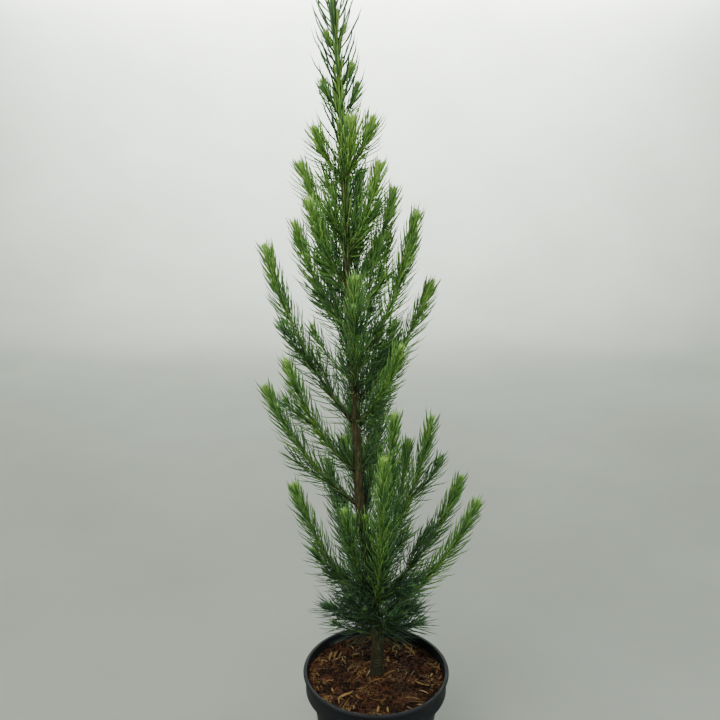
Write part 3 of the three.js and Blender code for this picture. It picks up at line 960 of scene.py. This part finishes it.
def leader_sprays():
    """The needles on the top of the trunk and its small side tufts."""
    points = smooth_trunk_at(np.linspace(LEADER_FROM, TRUNK_HEIGHTS[-1], LINE_STEPS))
    line = Line([*points, points[-1] + [0, 0, LEADER_ABOVE_TIP]])
    sprays = [Spray(line, radius=None, close=0, **looks) for looks in (LOOSE_LEADER, CLOSE_LEADER)]
    for height, azimuth, rise in LEADER_TWIGS:
        line = shoot_line(height, azimuth, rise * LEADER_TWIG_REACH, rise)
        size = rise / LEADER_TWIGS[0][2]
        long, short = (length * size for length in LEADER_TWIG_NEEDLES)
        tuft = LEADER_TWIG_TUFT * size**2
        sprays.append(Spray(line, long=long, short=short, tuft=tuft, **LEADER_TWIG))
    return sprays


# Needles


def needle_mesh(roots, directions, towards, lengths, curl, widths):
    """Needles as slim three-sided blades that curve towards their stems."""
    count = len(roots)
    bend = roots + directions * lengths[:, None] * 0.5
    inwards = unit(mix(directions, towards, curl[:, None]))
    tips = bend + inwards * lengths[:, None] * 0.5
    share = NEEDLE_STATIONS[None, :, None]
    first, second, third = roots[:, None], bend[:, None], tips[:, None]
    centres = first * (1 - share) ** 2 + second * 2 * share * (1 - share) + third * share**2
    ways = unit((second - first) * (1 - share) + (third - second) * share)
    broad = unit(np.cross(towards, directions))[:, None]
    back = unit(np.cross(ways, broad))
    half = NEEDLE_OUTLINE[None, :, None] * widths[:, None, None] / 2
    keel = 2 * half * NEEDLE_DEPTH
    flat = centres + back * keel * (1 - NEEDLE_KEEL)
    corners = [flat + broad * half, flat - broad * half, centres - back * keel * NEEDLE_KEEL]
    stations, sides = len(NEEDLE_STATIONS), len(corners)
    points = np.concatenate([np.stack(corners, axis=2).reshape(count, -1, 3), tips[:, None]], axis=1)
    side = np.arange(sides)
    after = (side + 1) % sides
    end = stations * sides
    tip = np.stack([end - sides + side, end - sides + after, np.full(sides, end)], -1)
    pattern = np.concatenate([grid_faces(stations, sides), tip, [[0, 2, 1]]])
    return many(points, pattern)


def many(points, faces):
    """One mesh from the points of many pieces that have the same faces."""
    count, each = points.shape[:2]
    all_faces = faces[None] + (np.arange(count) * each)[:, None, None]
    return points.reshape(-1, 3), all_faces.reshape(-1, 3)


def rooted(line, share, turn, lean, length, tone, curl, width, root_radius):
    """What a mesh of needles is made from, and their tones, above the mulch only."""
    out = line.outwards(share, turn)
    towards = line.tangent(share)
    directions = swung(towards, out, np.radians(lean)[:, None])
    roots = line.point(share) + out * root_radius[:, None]
    tips = roots + directions * length[:, None]
    keep = tips[:, 2] > LOWEST_NEEDLE
    return [field[keep] for field in (roots, directions, towards, length, curl, width, tone)]


def spiral(count, scatter, rng):
    """Turns in radians up a stem, each the golden turn from the last."""
    return np.radians(GOLDEN_TURN * np.arange(count) + scatter) + rng.uniform(0, 6)


def standing_needles(spray, rng):
    """The needles in a spiral along a stem, denser towards its tip."""
    line, start = spray.line, spray.start
    stem = line.length * (1 - start)
    count = int(stem / spray.every)
    along = denser_ahead((np.arange(count) + rng.uniform(0, 1, count)) / count)
    share = start + (1 - start) * along
    turn = spiral(count, rng.normal(0, 8, count), rng)
    lean = mix(spray.low_lean, spray.high_lean, along**0.8) + rng.normal(0, 4, count)
    length = mix(spray.long, spray.short, along**3) * rng.uniform(0.82, 1.08, count)
    brightness = 2 + 0.9 * along + 0.2 * smooth(45, 0, stem * (1 - along))
    tone = spray.tone + brightness * spray.gain + rng.normal(0, 0.7, count)
    # Painted shade: needles deep in the crown are darker
    tone -= INNER_PAINTED_SHADE * inside(line.point(share))
    curl = np.full(count, spray.curl) + rng.uniform(-0.15, 0.25, count)
    width = spray.width * mix(0.85, 1.12, along) * rng.uniform(0.8, 1.15, count)
    return rooted(line, share, turn, lean, length, tone, curl, width, stem_radius(spray, share) * 0.7)


def close_needles(spray, rng):
    """Lighter needles that lie close along a stem."""
    line, start = spray.line, spray.start
    count = int(line.length * (1 - start) / CLOSE_EVERY * spray.close)
    along = np.sort(rng.uniform(CLOSE_FROM, 1, count))
    share = start + (1 - start) * along
    turn = spiral(count, 0, rng)
    lean = mix(17, 10, along) + rng.normal(0, 3, count)
    length = mix(*CLOSE_LENGTHS, along) * rng.uniform(0.8, 1.1, count)
    tone = spray.tone + mix(2.4, 4.6, along) * spray.gain + rng.normal(0, 0.8, count)
    # Painted shade: needles deep in the crown are darker
    tone -= INNER_PAINTED_SHADE * inside(line.point(share))
    curl = np.full(count, 0.3)
    width = NEEDLE_WIDTH * rng.uniform(0.7, 0.9, count)
    return rooted(line, share, turn, lean, length, tone, curl, width, stem_radius(spray, share))


def tuft_needles(spray, rng):
    """Close bright needles up the last of a stem, and a blunt brush on its end."""
    line = spray.line
    reach = min(TUFT_LENGTH * spray.tuft, line.length * 0.5)
    rising = int(reach / TUFT_EVERY)
    count = rising + int(END_BRUSH * spray.tuft)
    along = np.clip((np.arange(count) + 0.5) / rising, 0, 1)
    share = 1 - (reach / line.length) * (1 - along)
    turn = spiral(count, 0, rng)
    lean = np.where(along < 1, mix(19, 11, along) + rng.normal(0, 3, count), rng.uniform(1, 17, count))
    length = np.where(along < 1, mix(*CLOSE_LENGTHS, along), 17) * rng.uniform(0.88, 1.06, count)
    length *= mix(0.75, 1, min(spray.tuft, 1))
    tone = spray.tone + mix(3.1, 4.8, along) * spray.gain + rng.normal(0, 1.1, count)
    curl = rng.uniform(0.1, 0.5, count)
    width = NEEDLE_WIDTH * rng.uniform(0.8, 1.05, count)
    return rooted(line, share, turn, lean, length, tone, curl, width, np.full(count, 0.4))


def denser_ahead(even):
    """Even shares drawn together towards the tip of the stem."""
    return (np.sqrt(1 + 2 * TIP_DENSITY * (1 + TIP_DENSITY / 2) * even) - 1) / TIP_DENSITY


def inside(points):
    """How deep in the crown points are, up to 1 by the trunk."""
    height = points[:, 2] - SOIL_TOP - GAP
    apart = np.linalg.norm((points - trunk_at(height))[:, :2], axis=1)
    return smooth(*INNER_REACH, apart) * smooth(*INNER_TOP, height)


def stem_radius(spray, share):
    """A stem's radius. The leader's needles stand on the trunk itself."""
    if spray.radius is None:
        return trunk_radius(spray.line.point(share)[:, 2] - SOIL_TOP - GAP)
    return taper(spray.radius, share)


def taper(radii, share):
    """A stem's radius, which falls faster near its foot."""
    return mix(radii[1], radii[0], (1 - share) ** 2)


def needle_pieces(sprays, masses):
    """Pieces of needles, one tone each, that together stand for all the masses."""
    rng = np.random.default_rng(NEEDLE_SEED)
    parts = []
    for spray in sprays:
        parts += [standing_needles(spray, rng), close_needles(spray, rng)]
        if spray.tuft:
            parts.append(tuft_needles(spray, rng))
    *fields, tones = (np.concatenate(field) for field in zip(*parts))
    levels = np.clip(np.round(tones), 0, len(TONES) - 1).astype(int)
    for level, (name, colour) in enumerate(TONES.items()):
        material = needle_material(f"needles_{name}", colour)
        chosen = np.flatnonzero(levels == level)
        for part, first in enumerate(range(0, len(chosen), MOST_NEEDLES), 1):
            some = chosen[first : first + MOST_NEEDLES]
            mesh = needle_mesh(*(field[some] for field in fields))
            add_piece(f"needles_{name}_{part}", mesh, material, masses)


# Stems


def bough_narrowing(line, start, share):
    """A bough's radius from the trunk to where the foliage starts."""
    return bough_radius(line.length) * mix(1, BOUGH_TAPER, share / start)


def stem_pieces(lines, starts, sprays):
    """Boughs with bark, brown stems inside the masses, and their green young ends."""
    boughs = []
    for line, start in zip(lines, starts):
        if start:
            form = (line, partial(bough_narrowing, line, start), BOUGH_SIDES, BOUGH_STEP)
            boughs.append(limb(*form, STEM_FOOT, start, bark_relief))
    names = [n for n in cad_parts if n.startswith("bough_")]
    add_piece("bough_bark", joined(boughs), bark_material("bough_bark"), names)
    brown, green = [], []
    for spray in sprays:
        if spray.radius:
            form = (spray.line, partial(taper, spray.radius), STEM_SIDES, STEM_STEP)
            brown.append(limb(*form, max(spray.start, STEM_FOOT), GREEN_FROM))
            green.append(limb(*form, GREEN_FROM, 1.0))
    add_piece("stems_brown", joined(brown), bark_material("stems_brown"))
    add_piece("stems_green", joined(green), bark_material("stems_green"))


# Pot


def arc(right, up, radius, from_degrees, to_degrees, steps=5):
    """Points of a rounded edge in a profile of radius and height."""
    turns = np.radians(np.linspace(from_degrees, to_degrees, steps))
    return [(right + radius * math.cos(t), up + radius * math.sin(t)) for t in turns]


def pot_profile():
    """The pot's wall from its underside, out and up to the bead, and back down inside."""
    under = FOOT_RADIUS - FOOT_BEVEL
    step = POT_HEIGHT - COLLAR_HEIGHT
    bead = BEAD_HEIGHT / 2
    ledge = step + WALL
    collar, neck, foot = (radius - WALL for radius in (COLLAR_RADIUS, NECK_RADIUS, FOOT_RADIUS))
    cone = [(mix(FOOT_RADIUS, NECK_RADIUS, s), mix(FOOT_BEVEL, step - 1, s)) for s in CONE_SHARES]
    return [
        (under - 6, 0),
        (under, 0),
        *arc(under, FOOT_BEVEL, FOOT_BEVEL, -70, -8),
        *cone,
        (NECK_RADIUS + LIP_EDGE, step),
        *arc(COLLAR_RADIUS - STEP_EDGE, step + STEP_EDGE, STEP_EDGE, -88, 0),
        (COLLAR_RADIUS, step + 9),
        (COLLAR_RADIUS, POT_HEIGHT - BEAD_HEIGHT - CREASE),
        *arc(RIM_RADIUS - bead, POT_HEIGHT - bead, bead, -80, 90, 9),
        *arc(collar + LIP_EDGE, POT_HEIGHT - LIP_EDGE, LIP_EDGE, 90, 180, 4),
        (collar, ledge + CREASE),
        (collar - CREASE, ledge),
        (neck, ledge),
        (foot, FLOOR + 1),
        (foot - 1, FLOOR),
    ]


def pot_material():
    look = Look("black_plastic", (15, 18, 23), 0.65, 0.3)
    haze = look.noise(28, 5, (1, 1, 0.5), 0.6)
    scuffs = [(0.35, (11, 13, 18)), (0.55, (15, 18, 24)), (0.8, (22, 24, 28))]
    relief = look.bump(look.noise(260, 4), 0.12, 0.0003)
    return look.finished(look.ramp(haze, scuffs), look.spread(haze, 0.6, 0.82), relief)


def drill(pot):
    """Cuts the drain holes through the pot's floor."""
    for turn in full_circle(DRAIN_HOLES):
        bpy.ops.mesh.primitive_cylinder_add(
            vertices=DRAIN_SIDES,
            radius=DRAIN_RADIUS * MM,
            depth=4 * FLOOR * MM,
            location=compass(math.degrees(turn)) * DRAIN_RING_RADIUS * MM,
        )
        cutter = bpy.context.object
        cut = pot.modifiers.new("drain", "BOOLEAN")
        cut.operation = "DIFFERENCE"
        cut.solver = "EXACT"
        cut.object = cutter
        bpy.context.view_layer.objects.active = pot
        bpy.ops.object.modifier_apply(modifier=cut.name)
        bpy.data.objects.remove(cutter)


def pot_piece():
    mesh = closed_grid(lathe(pot_profile(), POT_SIDES))
    pot = add_piece("nursery_pot", mesh, pot_material(), ["pot"])
    drill(pot)
    pot.data.shade_smooth()
    edges = pot.modifiers.new("edges", "EDGE_SPLIT")
    edges.split_angle = math.radians(SHARP_EDGE)


# Mulch


def mulch_height(x, y):
    """The mound's surface: level under the trunk, falling to the edge, with lumps."""
    radius = np.hypot(x, y)
    mound = np.interp(radius, [SEAT_RADIUS, MULCH_REACH], [SOIL_TOP, SOIL_EDGE])
    lumps = 1.5 * MOUND_NOISE(x / 19, y / 19, 0.5) + 1.0 * MOUND_NOISE(x / 7, y / 7, 9.5)
    return mound + lumps * smooth(8, 26, radius)


def mulch_mesh():
    """The mound and the soil under it, down to the pot's floor."""
    ledge = POT_HEIGHT - COLLAR_HEIGHT + WALL + GAP
    under = [
        (FOOT_RADIUS - WALL - 2 * GAP, FLOOR + GAP),
        (NECK_RADIUS - WALL - 2 * GAP, ledge),
        (MULCH_REACH, ledge + 0.2),
    ]
    turn = full_circle(MULCH_SIDES)
    rings = [*lathe(under, MULCH_SIDES)]
    for radius in np.linspace(MULCH_REACH, 1.2, MULCH_RINGS):
        x, y = radius * np.cos(turn), radius * np.sin(turn)
        grain = 0.8 * CRUMB_NOISE(x / 2.6, y / 2.6, 0.5) + 0.5 * CRUMB_NOISE(x / 1.3, y / 1.3, 7.5)
        rings.append(np.stack([x, y, mulch_height(x, y) + grain - 0.6], -1))
    return closed_grid(np.array(rings))


def drifted(rng, count, drift, pattern):
    """Places on the mound, more of them in drifts than between."""
    tries = 6 * count
    radius = MULCH_REACH * np.sqrt(rng.uniform(0.012, 0.94, tries))
    azimuth = rng.uniform(0, 2 * np.pi, tries)
    x, y = radius * np.cos(azimuth), radius * np.sin(azimuth)
    drifts = MOUND_NOISE(x / DRIFT_SIZE, y / DRIFT_SIZE, 20.5 + 3 * pattern)
    wanted = drift * drifts + (1 - drift) * rng.uniform(-1, 1, tries)
    return np.column_stack([x, y])[np.argsort(-wanted)[:count]]


def chip_mesh(rng, count, lengths, slenderness, thicknesses, drift, pattern):
    """Flat splinters of bark, each with its own outline, tilt and turn."""
    corners = (count, CHIP_CORNERS)
    turn = (np.arange(CHIP_CORNERS) + rng.uniform(-0.3, 0.3, corners)) * 2 * np.pi / CHIP_CORNERS
    jag = rng.uniform(0.72, 1.08, corners)
    length = rng.uniform(*lengths, count)[:, None]
    width = length / rng.uniform(*slenderness, count)[:, None]
    thick = rng.uniform(*thicknesses, count)[:, None]
    outline = np.stack([length / 2 * np.cos(turn) * jag, width / 2 * np.sin(turn) * jag], -1)
    rings = []
    for scale, level in CHIP_LAYERS:
        height = (level + rng.uniform(-0.12, 0.12, corners)) * thick
        rings.append(np.concatenate([outline * scale, height[..., None]], -1))
    points = np.stack(rings, axis=1)
    bow = rng.uniform(-0.03, 0.05, count)[:, None, None]
    points[..., 2] += bow * points[..., 0] ** 2 / (length[:, :, None] / 2)
    sweep = rng.normal(0, 0.035, count)[:, None, None]
    points[..., 1] += sweep * points[..., 0] ** 2
    laid = placed(points, drifted(rng, count, drift, pattern), rng)
    ends = np.stack([laid[:, 0].mean(1), laid[:, -1].mean(1)], axis=1)
    _, faces = closed_grid(laid[0])
    return many(np.concatenate([laid.reshape(count, -1, 3), ends], axis=1), faces)


def placed(points, places, rng):
    """Pieces each tilted and turned in their own way and laid on the mound."""
    count = len(places)
    lift = rng.uniform(*CHIP_LIFT, count)
    tilts = [np.radians(rng.normal(0, CHIP_TILT, count)) for _ in range(2)]
    turns = [*tilts, rng.uniform(0, 2 * np.pi, count)]
    for first, second, angle in zip((1, 2, 0), (2, 0, 1), turns):
        c, s = np.cos(angle)[:, None, None], np.sin(angle)[:, None, None]
        a, b = points[..., first].copy(), points[..., second].copy()
        points[..., first] = a * c - b * s
        points[..., second] = a * s + b * c
    return points + np.column_stack([places, mulch_height(*places.T) + lift])[:, None, None]


def strand(start, end, width, bow, lift):
    """A flat curved strand of bark that ends in two points."""
    start, end = np.array(start), np.array(end)
    across = np.array([start[1] - end[1], end[0] - start[0]]) / np.hypot(*(end - start))
    flat = np.array([start, (start + end) / 2 + 2 * bow * across, end])
    line = bezier(*np.column_stack([flat, mulch_height(*flat.T) + lift + [0, 1.2, 0]]))
    share = np.linspace(0, 1, STRAND_ROWS)
    turn = full_circle(STRAND_SIDES)
    half = width / 2 * np.sqrt(np.sin(np.pi * mix(0.03, 0.97, share)))
    aside = unit(np.cross(line.tangent(share), [0, 0, 1]))
    rings = line.point(share)[:, None] + aside[:, None] * (half[:, None] * np.cos(turn))[..., None]
    rings[..., 2] += STRAND_FLATNESS * half[:, None] * np.sin(turn)
    return closed_grid(rings)


def strand_mesh(rng, count, lengths, widths, bow, kind):
    """The strands of one kind: the largest ones in their places, and others in drifts."""
    laid = [row[1:] for row in LAID_STRANDS if row[0] == kind]
    strands = [strand(row[:2], row[2:4], *row[4:], LAID_LIFT) for row in laid]
    limit = MULCH_REACH * 0.96
    for place in drifted(rng, count, STRAND_DRIFT, kind):
        turn = rng.uniform(0, np.pi)
        reach = rng.uniform(*lengths) / 2 * np.array([math.cos(turn), math.sin(turn)])
        ends = np.clip([place - reach, place + reach], -limit, limit)
        radii = np.hypot(*ends.T)
        if radii.max() < MULCH_REACH * 0.97 and radii.min() > SEAT_RADIUS * 0.7:
            strands.append(strand(*ends, rng.uniform(*widths), rng.uniform(-bow, bow), LOOSE_LIFT))
    return joined(strands)


def mulch_pieces():
    look = Look("mulch", (38, 24, 17), 0.95, 0.1)
    crumbs = look.noise(380, 5, roughness=0.7)
    areas = look.rise(look.noise(34, 2), 0.42, 0.58)
    colour = look.mixed(areas, look.ramp(crumbs, DARK_CRUMBS), look.ramp(crumbs, RED_CRUMBS))
    material = look.finished(colour, relief=look.bump(crumbs, 0.9, 0.0012))
    add_piece("mulch_bed", mulch_mesh(), material, ["soil"])
    for seed, (tint, colour, *sizes) in enumerate(CHIPS, CHIP_SEED):
        loose_bark(f"chips_{tint}", colour, chip_mesh(np.random.default_rng(seed), *sizes))
    for seed, (tint, colour, *sizes) in enumerate(STRANDS, STRAND_SEED):
        loose_bark(f"strands_{tint}", colour, strand_mesh(np.random.default_rng(seed), *sizes))


def loose_bark(name, colour, mesh):
    """A piece of chips or strands with a fine grain, darker in some places of the mound."""
    look = Look(name, colour, 0.9, 0.12)
    grain = look.noise(700, 4, roughness=0.6)
    darker = tuple(0.62 * c for c in colour)
    lighter = tuple(min(255, 1.18 * c) for c in colour)
    fresh = look.ramp(grain, [(0.3, darker), (0.5, colour), (0.72, lighter)])
    damp = look.rise(look.noise(60, 2), 0.48, 0.68)
    colour = look.mixed(damp, fresh, rgba(darker))
    material = look.finished(colour, look.spread(grain, 0.78, 0.98), look.bump(grain, 0.5, 0.0006))
    add_piece(f"mulch_{name}", mesh, material)


# Stage


def camera():
    data = bpy.data.cameras.new("camera")
    data.angle = math.radians(CAMERA_ANGLE)
    view = put("camera", data)
    view.location = [axis * MM for axis in CAMERA_AT]
    view.rotation_euler = (math.radians(90 - CAMERA_DOWN), 0, 0)
    bpy.context.scene.camera = view


def studio():
    """A pale floor that curves up all round, under soft lights."""
    edge = FLOOR_RADII[-1]
    bend = np.radians(np.arange(10, 91, 10))
    profile = [(radius, 0) for radius in FLOOR_RADII]
    profile += [(edge + FLOOR_CURVE * math.sin(t), FLOOR_CURVE - FLOOR_CURVE * math.cos(t)) for t in bend]
    profile += [(edge + FLOOR_CURVE, height) for height in WALL_HEIGHTS]
    middle = [list(range(FLOOR_SIDES))[::-1]]
    faces = grid_faces(len(profile), FLOOR_SIDES)[:, ::-1].tolist()
    floor = bpy.data.meshes.new("floor")
    floor.from_pydata(lathe(profile, FLOOR_SIDES).reshape(-1, 3).tolist(), [], faces + middle)
    floor.shade_smooth()
    look = Look("pale_floor", (150, 154, 146), 0.8, 0.2)
    paper = look.ramp(look.noise(3, 4), [(0.3, (146, 150, 142)), (0.7, (154, 158, 150))])
    floor.materials.append(look.finished(paper))
    piece = put("floor", floor)
    for name, light in LIGHTS.items():
        area_light(name, *light)
    world = bpy.data.worlds.new("studio")
    world.use_nodes = True
    sky = world.node_tree.nodes["Background"].inputs
    sky["Color"].default_value = SKY
    sky["Strength"].default_value = SKY_STRENGTH
    bpy.context.scene.world = world


def area_light(name, place, target, size, power, colour):
    """A soft light, so wide and so tall, that faces its target."""
    data = bpy.data.lights.new(name, "AREA")
    data.shape = "RECTANGLE"
    data.size, data.size_y = size
    data.energy = power
    data.color = colour
    light = put(name, data)
    light.location = place
    right, back, up = unit(np.subtract(target, place))
    light.rotation_euler = (math.acos(-up), 0, math.atan2(-right, back))


# The object


camera()
studio()
pot_piece()
mulch_pieces()
add_piece("trunk_bark", trunk_mesh(), bark_material("trunk_bark"), ["trunk"])

shoot_lines, foliage_starts, all_sprays = grow()
mass_names = [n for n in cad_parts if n.startswith(("foliage_", "skirt_"))]
stem_pieces(shoot_lines, foliage_starts, all_sprays)
needle_pieces(all_sprays, mass_names)
